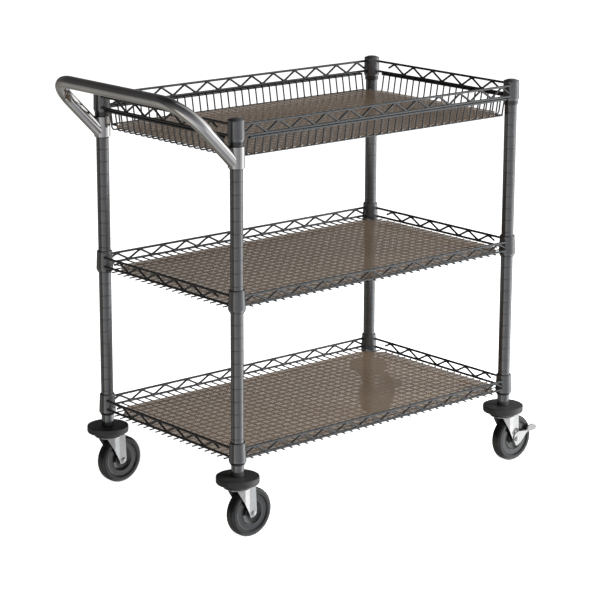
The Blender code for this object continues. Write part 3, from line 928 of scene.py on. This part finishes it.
# Edges of a fork leg as (height, distance from the swivel axis towards the wheel), and the heights
# of its rows of points.
LEG_FRONT = (
    (42.0, 21.0), (43.2, 19.4), (49.4, 18.2), (60.0, 12.6), (76.0, 4.0), (100.5, -10.1),
    (104.2, -13.0),
)
LEG_REAR = ((42.0, 26.0), (43.2, 30.0), (46.0, 33.6), (50.0, 35.6), (96.0, 33.6), (104.2, 33.2))
LEG_HEIGHTS = (
    42.0, 42.5, 43.2, 44.5, 46.0, 48.0, 49.4, 54.0, 60.0, 68.0, 76.0, 84.0, 92.0, 100.5, 104.2,
)
LEG_CREASE = 17.8
LEG_RIDGE = 6.0
LEG_SWELL = 0.085
LEG_TURN_IN = 0.2


def leg_depth(x):
    """How far a fork leg lies inside its flat: it swells out to a ridge, then turns in."""
    if x >= LEG_CREASE:
        return 0.0
    if x >= LEG_RIDGE:
        return -LEG_SWELL * (LEG_CREASE - x)
    return -LEG_SWELL * (LEG_CREASE - LEG_RIDGE) + LEG_TURN_IN * (LEG_RIDGE - x)


def make_fork(corner, x, y):
    """Dished cap, crown plate and two pressed legs."""
    shape = Shape()
    top = box_mm(f"{corner}_fork")[1].z
    rim = top - DISH_DROP
    dish = [
        (8.5, top), (19.5, top), (21.5, top - 0.8), (23, top - 2.4), (26.6, top - 3.0),
        (27.3, rim + 1.2), (27.3, rim), (26.6, rim - 0.3), (25.6, rim + 0.6), (22, top - 4.2),
        (20, top - 2.4), (8.5, top - 1.8),
    ]
    shape.turning(dish, upright(x, y), DISC_SIDES)
    crown = [(2, -15.4, 0), (33, -15.4, 0), (33, 15.4, 0), (2, 15.4, 0)]
    crown = [p.xy for p in rounded(crown, 3.0, 3, closed=True)]
    shape.plate(crown, upright(x, y), CROWN_Z, CROWN_Z + CROWN_THICK)
    for sign in (-1, 1):
        outer, inner = [], []
        for z in LEG_HEIGHTS:
            front, rear = between(LEG_FRONT, z), between(LEG_REAR, z)
            if sign > 0:
                front -= 6 * min(1, max(0, (z - 60) / 30))
            crease = max(front + 0.3, LEG_CREASE)
            ridge = min(max(front + 0.1, LEG_RIDGE), crease - 0.1)
            across = [
                front, (front + ridge) / 2, ridge - 0.04, ridge + 0.04, (ridge + crease) / 2,
                crease - 0.05, crease, crease + 0.3, (crease + rear) / 2, rear,
            ]
            for rows, face in ((outer, LEG_OUTSIDE), (inner, LEG_INSIDE)):
                rows.append([Vector((x + a, y + sign * (face - leg_depth(a)), z)) for a in across])
        shape.skin(outer, inner)
    make_piece(
        f"{corner}_fork_pressing", shape, ZINC, f"{corner}_swivel",
        [f"{corner}_fork"], 4,
    )


def make_axle(corner, x):
    """Domed rivet head in front, hexagon nut behind, and the shank between."""
    node = f"{corner}_axle_bolt"
    low, high = box_mm(node)
    face = low.y + 2.8
    nut = high.y - 4
    profile = [
        (0, low.y), (2.6, low.y + 0.15), (4.4, low.y + 0.9), (5.4, low.y + 2.1), (5.6, face),
        (4, face), (4, high.y + 1.2), (3.2, high.y + 1.8), (0, high.y + 1.8),
    ]
    place = along_y(x, 0, AXLE_Z)
    shape = Shape()
    shape.turning(profile, place, 32, closed=False)
    sixths = [math.pi / 3 * k for k in range(6)]
    shape.plate([(NUT_R * math.cos(a), NUT_R * math.sin(a)) for a in sixths], place, nut, high.y)
    make_piece(f"{corner}_axle_rivet", shape, ZINC, f"{corner}_swivel", [node], 35)


def make_wheel(corner, x, y):
    """Tyre with rounded shoulders on a core with a hub, a dished web and a beaded rim."""
    half = WHEEL_HALF
    tyre = [(WHEEL_R, 0)]
    for angle in (0, 12, 25, 38, 52, 66, 80, 90):
        a = math.radians(angle)
        across = half - SHOULDER_ROUND + SHOULDER_ROUND * math.sin(a)
        tyre.append((WHEEL_R - TREAD_ROUND + TREAD_ROUND * math.cos(a), across))
    tyre += [(39.3, half), (38.7, half - 0.2), (38.0, half - 1.0), (37.6, half - 2.0)]
    mirrored = [(r, -h) for r, h in reversed(tyre[1:])]
    shape = Shape()
    shape.turning(tyre + mirrored, along_y(x, y, AXLE_Z), WHEEL_SIDES)
    make_piece(
        f"{corner}_tyre_tread", shape, TYRE, f"{corner}_wheel", [f"{corner}_tyre"],
        50,
    )

    face = half - 1.4
    core = [
        (4.9, 12.9), (9.2, 12.9), (9.8, 12.3), (10.4, 6.4), (12.0, 5.4), (17.5, 5.6), (22.6, 7.6),
        (24.2, face - 0.5), (24.8, face), (25.6, face), (26.2, face - 0.6), (26.8, face - 0.8),
        (27.6, face - 0.8), (34.6, face - 0.8), (35.2, face - 0.8), (36.3, face - 0.1),
        (36.9, face - 0.05), (37.3, face - 0.6),
    ]
    shape = Shape()
    shape.turning(core + [(r, -h) for r, h in reversed(core)], along_y(x, y, AXLE_Z), WHEEL_SIDES)
    make_piece(
        f"{corner}_wheel_rim", shape, CORE, f"{corner}_wheel",
        [f"{corner}_wheel_core"], 34,
    )


def make_brake(corner, x):
    """Pressed lever about the axle, its thicker foot tab, and the end of its spring in near-black,
    which paints the shadow between the fork leg and the top of the plate.
    """
    node = f"{corner}_brake_lever"
    low, high = box_mm(node)
    outline = [
        (-7.5, 10), (-7.5, -4), (-3, -14), (0, -16), (5, -14.5), (13, -10), (31.5, 9.2), (42, 10),
        (42, 23), (33, 22.4), (30, 12.5), (4, 16),
    ]
    outline = [p.xy for p in rounded([(a, b, 0) for a, b in outline], 3.0, 3, closed=True)]
    place = along_y(x, 0, AXLE_Z)
    shape = Shape()
    shape.plate(outline, place, low.y, high.y)
    make_piece(
        f"{corner}_brake_plate", shape, ZINC, f"{corner}_brake", [node], 35, 0.4,
    )

    tab = [(32, 9.2), (55, 10.2), (60.5, 16), (57.5, 20), (48, 25.6), (33, 22.4)]
    tab = [p.xy for p in rounded([(a, b, 0) for a, b in tab], 5.0, 5, closed=True)]
    shape = Shape()
    shape.plate(tab, place, low.y - 0.9, high.y + 0.5)
    make_piece(f"{corner}_brake_tab", shape, TAB, f"{corner}_brake", [node], 35, 0.5)

    # Spring end in dark clip plastic; its near-black paints the shadow between the fork leg and the top
    # of the plate.
    hook = [(-9, 12), (-7.5, 16), (-3.5, 20.5), (0, 22.5), (4.5, 22), (6, 18.5), (4, 15.5)]
    shape = Shape()
    shape.tube(rounded([place(a, b, low.y + 0.4) for a, b in hook], 2.0, 3), 1.0, 8)
    make_piece(f"{corner}_brake_spring_and_painted_shadow", shape, DARK_CLIP_AND_SHADOW, f"{corner}_brake", [node], 60)


def make_casters():
    for corner, (x, y) in CORNERS.items():
        make_bumper(corner, x, y)
        make_stem(corner, x, y)
        make_fork(corner, x, y)
        make_axle(corner, x + TRAIL)
        make_wheel(corner, x + TRAIL, y)
        if corner in BRAKED:
            make_brake(corner, x + TRAIL)


make_posts()
make_clips()
make_frames()
make_mats()
make_basket()
make_liners()
make_handle()
make_casters()
